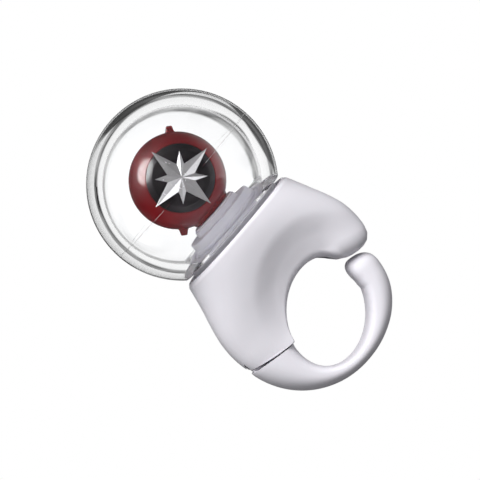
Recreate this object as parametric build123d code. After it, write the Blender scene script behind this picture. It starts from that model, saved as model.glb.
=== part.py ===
from build123d import *
import os
from math import atan2, copysign, cos, pi, radians, sin, sqrt, tan

# Finger-ring clicker for dog training: a clear globe that is pressed like a button, on a ring for one finger.
# Frame, in millimetres: Z is the axis of the globe, Y the axis of the finger hole, and the front is -Y.
# The origin is where the globe's axis crosses the middle of the finger hole.

# ---- driving dimensions ----
# globe and what it holds
GLOBE_R = 21.0
GLOBE_INNER_R = 17.5
GLOBE_Z = 41.5            # centre of the globe above the origin
BALL_R = 10.7
BALL_Z = 42.9
BALL_WALL = 1.6
BADGE_R = 7.3
BADGE_BACK = -7.6         # y of the flat that the badge is glued to
BADGE_THICK = 1.2
STAR_LONG = 8.2           # centre to the tip of a long point
STAR_SHORT = 5.6
STAR_VALLEY = 3.0
STAR_VALLEY_TURN = 30.0   # from a long point to the valley beside it
STAR_PLATE = 0.4
STAR_RISE = 1.4           # the facets above the plate
STAR_PIN_R = 0.8
TAB_ANGLES = (50.0, 228.0)
FOOT_R = 4.7
BOSS_R = 2.8
PEDESTAL_Z = (28.7, 31.1, 32.7)   # base, step and top
# moving collar of the globe, held under the lip of the housing
RIM_Z = 26.1
COLLAR_R = 13.4
COLLAR_BORE_R = 12.2
FLANGE_R = 14.1
FLANGE_Z = (23.6, 25.0)
GLOBE_EDGE_Z = 27.1       # cut edge of the sphere over the rim
DISC_Z = 25.7             # underside of the clear base disc
# mechanism in the housing
LIP_BORE_R = 13.65
LIP_Z = 25.1
GROOVE_R = 14.4
GROOVE_Z = 22.2
PLATE_R = 9.5
PLATE_Z = (18.8, 20.0)
CHAMBER_R = 8.5
CHAMBER_Z = 13.2
STEM_R = 3.0
STEM_Z = 15.6
PLUNGER_FLANGE = (7.0, 24.6)      # radius, underside
DISC_RIM_Z = 14.4
DISC_CROWN_Z = 15.5
# finger opening, an oval that leans 45 degrees
FINGER_MAJOR = 23.9
FINGER_MINOR = 18.6
FINGER_TILT = 45.0
FINGER_CENTRE = (-0.5, -0.35)
# sprung arm
SEAM_START = (-10.4, 0.8)
SEAM_END = (-21.2, 3.7)
SEAM_GAP = 0.4
HINGE = (-19.4, 5.0)      # x, z of the hinge pin
OPENING_ANGLE = 20.0
PIN_R = 1.0
PIN_HALF = 3.4
KNUCKLE_R = 1.9
KNUCKLE_Y = (-2.4, 0.6)
KNUCKLE_FOOT = 1.5        # height that the knuckle starts from
SLOT_HALF = 2.6
SLOT_ROOM = 0.3           # room round the knuckle
COIL_WIRE_R = 0.22
COIL_R = 1.45
COIL_LENGTH = 1.25
COIL_TURNS = 2.5
COIL_LEGS = (1.1, 3.0)    # lengths of the lower and the upper leg
LEG_ROOM = 0.45
ARM_CENTRE = (-2.2, 4.6)
ARM_R = 19.3
ARM_TIP = (12.75, -0.6)
ARM_TIP_SIZE = (3.65, 3.5)        # half width and half height of the rounded tip
ARM_HALF_WIDTH = 6.4
ARM_DOME = 9.6            # how far in the domed edge reaches
ARM_INNER_CENTRE = (-2.3, -0.3)
ARM_INNER_R = 11.4
# fasteners
SCREW_R = 1.0
SCREW_HEAD_R = 1.9
SCREW_HEAD = 1.4
SCREW_SPOTS = ((-14.5, 11.5), (14.8, 10.5))
FIT = 0.05                # radial clearance of a running fit
LOOSE = 0.02              # radial clearance of a screw in its thread

# Housing sections from the rim down: height, left end, right end, half depth, squareness of the oval.
HOUSING_SECTIONS = (
    (26.1, -15.9, 15.9, 15.9, 2.0),
    (21.5, -17.4, 17.6, 15.2, 2.05),
    (15.0, -19.8, 19.5, 12.2, 2.2),
    (9.0, -21.3, 20.2, 9.4, 2.5),
    (3.0, -21.3, 19.4, 7.9, 2.8),
    (-2.0, -20.0, 18.0, 7.2, 2.8),
)

FRONT = Plane.XZ          # local x is X, local y is Z, the normal points at -Y


def post(radius, low, high, x=0.0, y=0.0):
    """Upright cylinder between two heights."""
    return Pos(x, y, low) * Cylinder(radius, high - low, align=(Align.CENTER, Align.CENTER, Align.MIN))


def cross_post(radius, near, far, x, z):
    """Cylinder along Y between two depths."""
    return Pos(x, far, z) * Rot(90, 0, 0) * Cylinder(
        radius, far - near, align=(Align.CENTER, Align.CENTER, Align.MIN))


def turned(points):
    """Solid turned about Z from (radius, height) corners."""
    return revolve(FRONT * make_face(Polyline(*points, close=True)), Axis.Z)


def block(low, high):
    """Box between two corners."""
    size = [b - a for a, b in zip(low, high)]
    return Pos(*low) * Box(*size, align=(Align.MIN, Align.MIN, Align.MIN))


def plate_y(sketch, near=-30.0, far=30.0):
    """A sketch drawn in x and z, carried along Y between two depths."""
    return Pos(0, far, 0) * extrude(FRONT * sketch, far - near)


def oval_point(angle, half, depth, power):
    """Point of a squared oval, for an angle in radians."""
    c, s = cos(angle), sin(angle)
    return half * copysign(abs(c) ** (2 / power), c), depth * copysign(abs(s) ** (2 / power), s)


# ---- globe ----
def globe_shell():
    """Whole clear globe with its collar, flange and straight bore."""
    edge_r = sqrt(GLOBE_R ** 2 - (GLOBE_Z - GLOBE_EDGE_Z) ** 2)
    ball = Pos(0, 0, GLOBE_Z) * Sphere(GLOBE_R) - block((-30, -30, 0), (30, 30, GLOBE_EDGE_Z))
    collar = post(COLLAR_R, FLANGE_Z[0], GLOBE_EDGE_Z) + post(FLANGE_R, *FLANGE_Z)
    under = turned(((COLLAR_R, GLOBE_EDGE_Z), (edge_r, GLOBE_EDGE_Z), (COLLAR_R, GLOBE_EDGE_Z + 1.0)))
    bore = post(COLLAR_BORE_R, 0, GLOBE_Z - 10) + Pos(0, 0, GLOBE_Z) * Sphere(GLOBE_INNER_R)
    return ball + collar + under - bore


def seam_tongue(clearance=0.0):
    """Ring that keys the two halves of the globe together."""
    middle = (GLOBE_R + GLOBE_INNER_R) / 2
    wide = 0.45 + clearance
    return post(middle + wide, GLOBE_Z, GLOBE_Z + 0.8 + clearance) - post(middle - wide, 0, GLOBE_Z + 2)


def globe_upper():
    """Upper half of the clear globe, grooved for the tongue."""
    return globe_shell() - block((-30, -30, 0), (30, 30, GLOBE_Z)) - seam_tongue(FIT)


def globe_lower():
    """Lower half of the globe, with the collar that slides in the housing."""
    return globe_shell() - block((-30, -30, GLOBE_Z), (30, 30, 80)) + seam_tongue()


def base_disc():
    """Clear disc that closes the globe and carries the pedestal."""
    disc = post(COLLAR_BORE_R, DISC_Z, PEDESTAL_Z[0]) - post(5.0, 0, 60)
    return chamfer(disc.edges().group_by(Axis.Z)[-1].sort_by(SortBy.RADIUS)[-1], 0.3)


def pedestal():
    """Two frosted tiers with sloped sides."""
    low, step, top = PEDESTAL_Z
    tiers = turned(((0, low), (9.5, low), (8.9, step), (6.4, step), (6.0, top), (0, top)))
    return tiers - post(SCREW_R + FIT, 0, 60)


def ball_tab(angle):
    """Small tapered peg on the outside of the ball."""
    lean = Rot(0, 90 - angle, 0)
    return Pos(0, 0, BALL_Z) * lean * Pos(0, 0, BALL_R - 0.4) * Cone(
        0.95, 0.6, 1.9, align=(Align.CENTER, Align.CENTER, Align.MIN))


def ball_body():
    """Hollow ball on a short foot, with a flat at the front for the badge."""
    outer = Pos(0, 0, BALL_Z) * Sphere(BALL_R) + post(FOOT_R, PEDESTAL_Z[2], PEDESTAL_Z[2] + 2)
    outer -= block((-20, -20, 0), (20, 20, PEDESTAL_Z[2]))
    for angle in TAB_ANGLES:
        outer += ball_tab(angle)
    outer -= cross_post(BADGE_R + 0.1, -20, BADGE_BACK, 0, BALL_Z)
    hollow = Pos(0, 0, BALL_Z) * Sphere(BALL_R - BALL_WALL)
    hollow -= block((-20, -20, 0), (20, BADGE_BACK + 1.4, 80))
    return outer - hollow


def ball_boss():
    """Post inside the ball that the screw bites into."""
    return post(BOSS_R, PEDESTAL_Z[2], PEDESTAL_Z[2] + 6)


def ball_front():
    """Front half of the ball, with the seat of the badge."""
    return ball_body() - block((-20, 0, 0), (20, 20, 80)) - ball_boss() - star_pin()


def ball_rear():
    """Rear half of the ball, with the post for the screw."""
    half = ball_body() - block((-20, -20, 0), (20, 0, 80))
    return half + ball_boss() - post(SCREW_R + LOOSE, 0, BALL_Z - 5)


def badge_disc():
    """Black disc on the front of the ball."""
    disc = cross_post(BADGE_R, BADGE_BACK - BADGE_THICK, BADGE_BACK, 0, BALL_Z)
    return chamfer(disc.edges().sort_by(Axis.Y)[0], 0.3) - star_pin()


def star_pin():
    """Peg on the back of the star, through the badge and into the ball."""
    return cross_post(STAR_PIN_R, BADGE_BACK - BADGE_THICK, BADGE_BACK + 1.0, 0, BALL_Z)


def compass_star():
    """Eight-pointed compass rose: four long points, four short ones, each with two facets."""
    corners = []
    for step in range(16):
        reach = STAR_VALLEY if step % 2 else (STAR_SHORT if step % 4 else STAR_LONG)
        lean = {1: STAR_VALLEY_TURN - 22.5, 3: 22.5 - STAR_VALLEY_TURN}.get(step % 4, 0.0)
        angle = radians(22.5 * step + lean)
        corners.append((reach * cos(angle), reach * sin(angle)))
    seat = BADGE_BACK - BADGE_THICK
    plane = Plane((0, seat - STAR_PLATE, BALL_Z), x_dir=(1, 0, 0), z_dir=(0, -1, 0))
    face = plane * make_face(Polyline(*corners, close=True))
    plate = extrude(face, STAR_PLATE, dir=(0, 1, 0))
    peak = loft([face, Vertex(0, seat - STAR_PLATE - STAR_RISE, BALL_Z)], ruled=True)
    return plate + peak + star_pin()


def ball_screw():
    """Long screw from the plunger up into the ball."""
    head = post(SCREW_HEAD_R, 20.0, 20.0 + SCREW_HEAD)
    return head + post(SCREW_R, 20.0, BALL_Z - 5.5) - block((-1.3, -0.25, 19), (1.3, 0.25, 20.5))


# ---- press mechanism ----
def plunger():
    """Stem under the globe, with a flange for the return spring and a spigot in the base disc."""
    flange_r, flange_z = PLUNGER_FLANGE
    body = post(STEM_R, STEM_Z, flange_z) + post(flange_r, flange_z, DISC_Z) + post(5.0, DISC_Z, PEDESTAL_Z[0])
    body -= post(SCREW_HEAD_R + 0.1, 0, 20.0 + SCREW_HEAD) + post(SCREW_R + FIT, 0, 60)
    return chamfer(body.edges().group_by(Axis.Z)[0].sort_by(SortBy.RADIUS)[-1], 0.3)


def return_spring():
    """Helical spring between the guide plate and the flange of the plunger."""
    wire = 0.3
    low, high = PLATE_Z[1] + wire, PLUNGER_FLANGE[1] - wire
    path = Helix((high - low) / 3.5, high - low, 5.0, center=(0, 0, low))
    return sweep(Plane(path ^ 0) * Circle(wire - 0.01), path=path, is_frenet=True)


def click_disc():
    """Domed spring-steel disc that snaps through and makes the click."""
    rim, fall, thick = 7.2, DISC_CROWN_Z - DISC_RIM_Z - 0.3, 0.3

    def cap(top):
        return (0, top), (rim / 2, top - fall / 4), (rim, top - fall)

    upper, lower = cap(DISC_CROWN_Z), cap(DISC_CROWN_Z - thick)
    strip = make_face([ThreePointArc(*upper), Line(upper[2], lower[2]), ThreePointArc(*lower),
                       Line(lower[0], upper[0])])
    return revolve(FRONT * strip, Axis.Z)


def click_seat():
    """Ring that the rim of the click disc rests in."""
    outer = CHAMBER_R - FIT
    return turned(((6.0, CHAMBER_Z), (outer, CHAMBER_Z), (outer, DISC_RIM_Z + 0.8), (7.4, DISC_RIM_Z + 0.8),
                   (7.4, DISC_RIM_Z), (6.0, DISC_RIM_Z)))


def guide_plate():
    """Plate that keeps the plunger upright and backs its spring."""
    plate = post(PLATE_R, *PLATE_Z) - post(STEM_R + FIT, 0, 60)
    return plate - PolarLocations(7.3, 6) * Cylinder(0.9, 60)


def bumper_ring():
    """Rubber ring that ends the travel of the globe quietly."""
    return post(GROOVE_R - 0.1, GROOVE_Z, GROOVE_Z + 0.4) - post(COLLAR_BORE_R + 0.4, 0, 60)


# ---- housing ----
def housing_section(z, left, right, depth, power):
    """Horizontal section of the housing, a squared oval."""
    middle, half = (left + right) / 2, (right - left) / 2
    count = 24
    points = []
    for k in range(count):
        x, y = oval_point(2 * pi * k / count, half, depth, power)
        points.append((middle + x, y, z))
    return make_face(Spline(*points, periodic=True))


def finger_oval():
    """Outline of the finger opening in x and z."""
    return Pos(*FINGER_CENTRE) * Ellipse(FINGER_MAJOR / 2, FINGER_MINOR / 2, rotation=FINGER_TILT)


def seam_height(x):
    """Height of the seam between the housing and the arm."""
    slope = (SEAM_END[1] - SEAM_START[1]) / (SEAM_END[0] - SEAM_START[0])
    return SEAM_START[1] + slope * (x - SEAM_START[0])


def below_seam():
    """Everything under the seam, left of the finger hole, in x and z."""
    points = ((-30, seam_height(-30)), (-4, seam_height(-4)), (-4, -30), (-30, -30))
    return make_face(Polyline(*points, close=True))


def below_beak():
    """The space under the rounded beak on the right of the finger hole, in x and z."""
    start, underside, nose = (8.6, 6.2), (15.8, 2.75), (20.6, 9.2)
    under = Spline(start, (12.3, 3.45), underside, tangents=((0.55, -0.83), (1, 0)))
    tip = ThreePointArc(underside, (18.9, 4.1), nose)
    rest = Polyline(nose, (26, 14), (26, -12), (2, -12), (2, 0), start)
    return make_face([under, tip, *rest.edges()])


def housing_blank():
    """Outside of the housing: an egg-cup shape that ends in a saddle over the finger."""
    blank = loft([housing_section(*row) for row in HOUSING_SECTIONS])
    return blank - plate_y(finger_oval()) - plate_y(below_seam()) - plate_y(below_beak())


def housing_cavity():
    """Bore for the collar, groove for its flange and chamber for the mechanism, turned about Z."""
    return turned((
        (0, CHAMBER_Z), (CHAMBER_R, CHAMBER_Z), (CHAMBER_R, PLATE_Z[0]), (PLATE_R + FIT, PLATE_Z[0]),
        (PLATE_R + FIT, GROOVE_Z), (GROOVE_R, GROOVE_Z), (GROOVE_R, LIP_Z), (LIP_BORE_R, LIP_Z),
        (LIP_BORE_R, RIM_Z + 1), (0, RIM_Z + 1)))


def hinge_slot():
    """Slot that the knuckle of the arm turns in, open below and to the left."""
    x, z = HINGE
    reach = KNUCKLE_R + SLOT_ROOM
    slot = cross_post(reach, -SLOT_HALF, SLOT_HALF, x, z)
    slot += block((-30, -SLOT_HALF, -5), (x + reach, SLOT_HALF, z))
    leg_x, leg_top = x + COIL_R, z + COIL_LEGS[1] + LEG_ROOM
    slot += block((leg_x - LEG_ROOM, SLOT_HALF - 2 * LEG_ROOM, z), (leg_x + LEG_ROOM, SLOT_HALF, leg_top))
    return slot + cross_post(PIN_R, -PIN_HALF, PIN_HALF, x, z)


def screw_holes():
    """Threaded holes and counterbores of the two housing screws."""
    holes = [cross_post(SCREW_R + LOOSE, -4.7, 20, x, z) for x, z in SCREW_SPOTS]
    return holes + [cross_post(SCREW_HEAD_R + 0.15, 4.5, 20, x, z) for x, z in SCREW_SPOTS]


def housing_whole():
    """Both halves of the housing as one solid, with every hole."""
    whole = housing_blank() - housing_cavity() - hinge_slot()
    for hole in screw_holes():
        whole -= hole
    return whole


def front_housing():
    """Half of the housing towards the user."""
    return housing_whole() - block((-40, 0, -40), (40, 40, 80))


def rear_housing():
    """Half of the housing with the screw heads."""
    return housing_whole() - block((-40, -40, -40), (40, 0, 80))


def housing_screws():
    """Two screws that hold the halves of the housing together, from the rear."""
    screws = []
    for x, z in SCREW_SPOTS:
        screw = cross_post(SCREW_R, -4.5, 4.6, x, z) + cross_post(SCREW_HEAD_R, 4.5, 4.5 + SCREW_HEAD, x, z)
        cross = block((x - 1.2, 5.3, z - 0.25), (x + 1.2, 7, z + 0.25))
        cross += block((x - 0.25, 5.3, z - 1.2), (x + 0.25, 7, z + 1.2))
        screws.append(screw - cross)
    return Compound(children=screws)


# ---- arm ----
def arm_round():
    """Disc with a domed edge, turned about the middle of the arm's outer curve."""
    x, z = ARM_CENTRE
    flat = ARM_R - ARM_DOME
    edge = Pos(flat, 0) * Ellipse(ARM_DOME, ARM_HALF_WIDTH) + Pos(flat / 2, 0) * Rectangle(flat, 2 * ARM_HALF_WIDTH)
    return Pos(x, 0, z) * revolve(edge, Axis.Y)


def arm_top():
    """Upper limit of the arm in x and z: the seam, less its gap, and the heel that clears when it opens."""
    slope = radians(OPENING_ANGLE) + atan2(SEAM_START[1] - SEAM_END[1], SEAM_START[0] - SEAM_END[0])
    x, z = HINGE
    drop = z - seam_height(x) + SEAM_GAP
    heel = ((x, z - drop), (-30, z - drop + (-30 - x) * tan(slope)), (-30, 12), (x, 12))
    seam = ((-30, seam_height(-30) - SEAM_GAP), (-4, seam_height(-4) - SEAM_GAP), (-4, 40), (-30, 40))
    return make_face(Polyline(*heel, close=True)) + make_face(Polyline(*seam, close=True))


def arm_outline():
    """Crescent between the arm's outer circle and the finger opening, in x and z."""
    disc = Pos(*ARM_CENTRE) * Circle(ARM_R + 1)
    opening = finger_oval() & Pos(*ARM_INNER_CENTRE) * Circle(ARM_INNER_R)
    x, z = ARM_TIP
    above_tip = Pos(-4, z) * Rectangle(40, 40, align=(Align.MIN, Align.MIN))
    above_tip -= Pos(x, z) * Ellipse(*ARM_TIP_SIZE)
    return disc - opening - above_tip - arm_top()


def finger_arm():
    """Crescent that closes round the finger, hinged at the left of the housing."""
    blank = arm_round() & plate_y(arm_outline())
    hx, hz = HINGE
    tongue = cross_post(KNUCKLE_R, *KNUCKLE_Y, hx, hz)
    tongue += block((hx - KNUCKLE_R + 0.5, KNUCKLE_Y[0], KNUCKLE_FOOT), (hx + KNUCKLE_R, KNUCKLE_Y[1], hz))
    return blank + tongue - cross_post(PIN_R + FIT, -10, 10, hx, hz)


def hinge_pin():
    """Steel pin of the arm."""
    return cross_post(PIN_R, -PIN_HALF, PIN_HALF, *HINGE)


def arm_spring():
    """Torsion spring round the hinge pin, beside the knuckle, with one leg up into the housing."""
    x, z = HINGE
    low = KNUCKLE_Y[1] + 0.15 + COIL_WIRE_R
    coil = Helix(COIL_LENGTH / COIL_TURNS, COIL_LENGTH, COIL_R, direction=(0, 1, 0))
    path = Pos(x, low, z) * Rot(0, -90, 0) * coil
    spring = sweep(Plane(path ^ 0) * Circle(COIL_WIRE_R), path=path, is_frenet=True)
    lower_leg = post(COIL_WIRE_R, z - COIL_LEGS[0], z, x - COIL_R, low)
    upper_leg = post(COIL_WIRE_R, z, z + COIL_LEGS[1], x + COIL_R, low + COIL_LENGTH)
    return spring + lower_leg + upper_leg


PARTS = {
    "globe_upper": globe_upper,
    "globe_lower": globe_lower,
    "base_disc": base_disc,
    "pedestal": pedestal,
    "ball_front": ball_front,
    "ball_rear": ball_rear,
    "badge_disc": badge_disc,
    "compass_star": compass_star,
    "ball_screw": ball_screw,
    "plunger": plunger,
    "return_spring": return_spring,
    "click_disc": click_disc,
    "click_seat": click_seat,
    "guide_plate": guide_plate,
    "bumper_ring": bumper_ring,
    "front_housing": front_housing,
    "rear_housing": rear_housing,
    "housing_screws": housing_screws,
    "hinge_pin": hinge_pin,
    "arm_spring": arm_spring,
    "finger_arm": finger_arm,
}

os.makedirs("parts", exist_ok=True)
for name, make in PARTS.items():
    export_step(make(), f"parts/{name}.step")
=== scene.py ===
"""Looks of a finger-ring clicker: a clear globe over a ball with a compass star, on a pale satin housing.

Lengths in this file are millimetres in the frame of the CAD model, and become metres when a mesh is made.
HINGE is the x and z of the pin that the arm turns on, along Y.
"""
import logging
from dataclasses import dataclass
from enum import Enum
from math import cos, degrees, radians, sin
from typing import Any, Iterable, Sequence

import bmesh
import bpy
import numpy as np
from mathutils import Matrix, Vector


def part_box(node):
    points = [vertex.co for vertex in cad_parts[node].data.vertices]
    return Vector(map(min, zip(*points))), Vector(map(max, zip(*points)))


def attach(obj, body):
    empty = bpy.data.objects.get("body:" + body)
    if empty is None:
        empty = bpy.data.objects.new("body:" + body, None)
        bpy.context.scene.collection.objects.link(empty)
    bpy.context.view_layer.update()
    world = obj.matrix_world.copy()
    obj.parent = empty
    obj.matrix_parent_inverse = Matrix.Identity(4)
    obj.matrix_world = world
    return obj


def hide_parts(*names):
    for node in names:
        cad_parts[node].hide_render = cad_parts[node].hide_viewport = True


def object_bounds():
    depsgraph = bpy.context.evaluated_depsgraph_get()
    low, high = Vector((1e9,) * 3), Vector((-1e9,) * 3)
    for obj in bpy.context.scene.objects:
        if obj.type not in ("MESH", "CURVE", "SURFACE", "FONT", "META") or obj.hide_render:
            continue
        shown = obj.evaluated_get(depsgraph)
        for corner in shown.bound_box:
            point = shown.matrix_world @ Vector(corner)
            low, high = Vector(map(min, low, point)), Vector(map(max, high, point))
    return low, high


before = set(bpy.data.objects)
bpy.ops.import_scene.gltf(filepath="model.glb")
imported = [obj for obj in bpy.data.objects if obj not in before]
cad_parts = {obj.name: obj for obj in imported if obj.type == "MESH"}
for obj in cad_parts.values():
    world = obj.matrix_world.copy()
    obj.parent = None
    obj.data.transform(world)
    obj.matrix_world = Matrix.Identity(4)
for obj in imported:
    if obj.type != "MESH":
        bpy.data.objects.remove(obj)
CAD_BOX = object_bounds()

log = logging.getLogger("clicker")
MM = 0.001
HINGE = (-19.4, 5.0)
Array = np.ndarray


# ---------------------------------------------------------------- shader expressions
class Signal:
    """One output socket of a node, or a number, that takes part in Python arithmetic."""

    def __init__(self, tree: bpy.types.NodeTree, socket: Any) -> None:
        """Keep the tree and the socket."""
        self.tree = tree
        self.socket = socket

    def math(self, operation: str, other: Any = None, clamp: bool = False) -> "Signal":
        """Add one Math node whose first value is this one.

        Args:
            operation: the node's operation.
            other: its second value, a Signal or a number, if it has one.
            clamp: whether the result is kept from 0 to 1.
        Returns:
            The node's output.
        """
        return combine(self.tree, operation, self, other, clamp)

    def __add__(self, other: Any) -> "Signal":
        """Sum."""
        return self.math("ADD", other)

    def __radd__(self, other: Any) -> "Signal":
        """Sum with a number on the left."""
        return combine(self.tree, "ADD", other, self)

    def __sub__(self, other: Any) -> "Signal":
        """Difference."""
        return self.math("SUBTRACT", other)

    def __rsub__(self, other: Any) -> "Signal":
        """Difference with a number on the left."""
        return combine(self.tree, "SUBTRACT", other, self)

    def __mul__(self, other: Any) -> "Signal":
        """Product."""
        return self.math("MULTIPLY", other)

    def __rmul__(self, other: Any) -> "Signal":
        """Product with a number on the left."""
        return combine(self.tree, "MULTIPLY", other, self)

    def __truediv__(self, other: Any) -> "Signal":
        """Quotient."""
        return self.math("DIVIDE", other)

    def above(self, edge: float, width: float) -> "Signal":
        """Ramp from 0 to 1 as the value passes an edge: (value - edge) / width + 0.5, kept from 0 to 1."""
        return ((self - edge) / width).math("ADD", 0.5, clamp=True)


def combine(tree: bpy.types.NodeTree, operation: str, first: Any, second: Any = None,
            clamp: bool = False) -> Signal:
    """Add a Math node.

    Args:
        tree: the node tree it goes in.
        operation: the node's operation.
        first: its first value, a Signal or a number.
        second: its second value, if it has one.
        clamp: whether the result is kept from 0 to 1.
    Returns:
        The node's output.
    """
    node = tree.nodes.new("ShaderNodeMath")
    node.operation, node.use_clamp = operation, clamp
    for slot, value in zip(node.inputs, (first, second)):
        if isinstance(value, Signal):
            tree.links.new(value.socket, slot)
        elif value is not None:
            slot.default_value = value
    return Signal(tree, node.outputs[0])


class Board:
    """A node tree that is built up by name."""

    def __init__(self, owner: Any, output: str) -> None:
        """Empty the owner's node tree and give it one output node."""
        owner.use_nodes = True
        self.tree = owner.node_tree
        self.tree.nodes.clear()
        self.output = self.tree.nodes.new(output)

    def node(self, kind: str, settings: dict[str, Any] | None = None, inputs: dict[Any, Any] | None = None,
             output: Any = 0) -> Signal:
        """Add any node.

        Args:
            kind: the node's type.
            settings: its properties.
            inputs: values or Signals for its sockets, by name or number.
            output: which output to return.
        Returns:
            The chosen output.
        """
        made = self.tree.nodes.new(kind)
        for key, value in (settings or {}).items():
            setattr(made, key, value)
        for key, value in (inputs or {}).items():
            if isinstance(value, Signal):
                self.tree.links.new(value.socket, made.inputs[key])
            else:
                made.inputs[key].default_value = value
        return Signal(self.tree, made.outputs[output])

    def finish(self, shader: Signal) -> None:
        """Lead a shader to the output node."""
        self.tree.links.new(shader.socket, self.output.inputs["Surface"])


class Paint(Board):
    """A material with one Principled shader."""

    def __init__(self, name: str) -> None:
        """Make the material."""
        self.material = bpy.data.materials.new(name)
        super().__init__(self.material, "ShaderNodeOutputMaterial")
        self.shader = self.tree.nodes.new("ShaderNodeBsdfPrincipled")
        self.finish(Signal(self.tree, self.shader.outputs[0]))

    def place(self) -> Signal:
        """Object coordinates."""
        return self.node("ShaderNodeTexCoord", output="Object")

    def noise(self, scale: float, detail: float = 2.0, rough: float = 0.5,
              stretch: Sequence[float] = (1, 1, 1)) -> Signal:
        """Noise value on Object coordinates.

        Args:
            scale: grains per millimetre.
            detail: octaves.
            rough: weight of the fine octaves.
            stretch: scale along X, Y and Z.
        Returns:
            The noise, about 0.5.
        """
        turned = self.node("ShaderNodeMapping", inputs={"Vector": self.place(), "Scale": tuple(stretch)})
        return self.node("ShaderNodeTexNoise", inputs={
            "Vector": turned, "Scale": scale / MM, "Detail": detail, "Roughness": rough})

    def mixed(self, mask: Signal, first: Sequence[float], second: Sequence[float]) -> Signal:
        """Colour that goes from the first to the second as the mask goes from 0 to 1."""
        return self.node("ShaderNodeMix", {"data_type": "RGBA"},
                         {"Factor": mask, 6: (*first, 1.0), 7: (*second, 1.0)}, output=2)

    def link(self, **sockets: Signal) -> None:
        """Lead signals into the shader; underscores in a name stand for spaces."""
        for name, signal in sockets.items():
            self.tree.links.new(signal.socket, self.shader.inputs[name.replace("_", " ")])

    def fix(self, **sockets: Any) -> None:
        """Set constants on the shader; underscores in a name stand for spaces."""
        for name, value in sockets.items():
            self.shader.inputs[name.replace("_", " ")].default_value = value

    def bump(self, height: Signal, depth: float) -> None:
        """Bump the surface by a height from 0 to 1, with its depth in millimetres."""
        self.link(Normal=self.node("ShaderNodeBump", inputs={
            "Height": height, "Distance": depth * MM, "Strength": 1.0}))


# ---------------------------------------------------------------- finishes
@dataclass(frozen=True)
class SatinPlastic:
    """Moulded plastic with a soft sheen and a very fine spark-eroded grain."""

    name: str
    colour: tuple[float, float, float]
    shade: tuple[float, float, float]
    rough: float = 0.42
    grain: float = 0.004

    def make(self) -> bpy.types.Material:
        """Build the material."""
        paint = Paint(self.name)
        cloud = paint.noise(0.06, 2.0)
        fine = paint.noise(4.0, 3.0, 0.6)
        paint.link(Base_Color=paint.mixed(cloud.above(0.5, 0.5), self.colour, self.shade),
                   Roughness=self.rough + (fine - 0.5) * 0.10 + (cloud - 0.5) * 0.08)
        paint.fix(Specular_IOR_Level=0.45, Coat_Weight=0.12, Coat_Roughness=0.25, Subsurface_Weight=0.08,
                  Subsurface_Radius=(0.004, 0.003, 0.003))
        paint.bump(fine, self.grain)
        return paint.material


@dataclass(frozen=True)
class ClearPlastic:
    """Polished clear acrylic with the faintest haze of handling.

    It has a matt milky collar below a height, and a bonded joint that doesn't show.
    """

    name: str
    colour: tuple[float, float, float] = (0.985, 0.988, 0.992)
    ior: float = 1.49
    haze: float = 0.012
    matt_below: float = 27.3
    matt_fade: float = 0.3
    matt: float = 0.38
    milk: tuple[float, float, float] = (0.84, 0.83, 0.88)
    milk_rough: float = 0.35
    milk_clear: float = 0.25
    milkiness: float = 0.9
    joint_z: float = 41.5
    joint_half: float = 0.016
    joint_fade: float = 0.004

    def make(self) -> bpy.types.Material:
        """Build the material."""
        paint = Paint(self.name)
        smear = paint.noise(0.08, 3.0, 0.6)
        height = paint.node("ShaderNodeSeparateXYZ", inputs={0: paint.place()}, output=2)
        collar = 1.0 - height.above(self.matt_below * MM, self.matt_fade * MM)
        off_joint = (height - self.joint_z * MM).math("ABSOLUTE") / MM
        paint.link(Roughness=smear.above(0.62, 0.3) * self.haze + collar * self.matt,
                   Alpha=off_joint.above(self.joint_half, self.joint_fade))
        paint.fix(Base_Color=(*self.colour, 1.0), Transmission_Weight=1.0, IOR=self.ior)
        milky = paint.node("ShaderNodeBsdfPrincipled", inputs={
            "Base Color": (*self.milk, 1.0), "Roughness": self.milk_rough,
            "Transmission Weight": self.milk_clear, "IOR": self.ior})
        clear = Signal(paint.tree, paint.shader.outputs[0])
        paint.finish(paint.node("ShaderNodeMixShader", inputs={
            0: collar * self.milkiness, 1: clear, 2: milky}))
        return paint.material


@dataclass(frozen=True)
class FrostedPlastic:
    """Translucent plastic with a blasted surface."""

    name: str
    colour: tuple[float, float, float]
    edge: tuple[float, float, float]

    def make(self) -> bpy.types.Material:
        """Build the material."""
        paint = Paint(self.name)
        cloud = paint.noise(0.25, 3.0)
        fine = paint.noise(9.0, 2.0, 0.7)
        paint.link(Base_Color=paint.mixed(cloud.above(0.5, 0.4), self.colour, self.edge),
                   Roughness=0.40 + (fine - 0.5) * 0.2)
        paint.fix(Transmission_Weight=0.12, IOR=1.46, Subsurface_Weight=0.2,
                  Subsurface_Radius=(0.003, 0.003, 0.004))
        paint.bump(fine, 0.006)
        return paint.material


@dataclass(frozen=True)
class GlossPlastic:
    """Coloured gloss plastic with a clear coat and a little depth of colour."""

    name: str
    colour: tuple[float, float, float]
    deep: tuple[float, float, float]
    rough: float = 0.30
    coat: float = 0.7

    def make(self) -> bpy.types.Material:
        """Build the material."""
        paint = Paint(self.name)
        cloud = paint.noise(0.12, 4.0, 0.55)
        fine = paint.noise(2.5, 2.0)
        paint.link(Base_Color=paint.mixed(cloud.above(0.5, 0.35), self.colour, self.deep),
                   Roughness=self.rough + (cloud - 0.5) * 0.12)
        paint.fix(Coat_Weight=self.coat, Coat_Roughness=0.12, Specular_IOR_Level=0.1)
        paint.bump(fine, 0.0015)
        return paint.material


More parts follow.
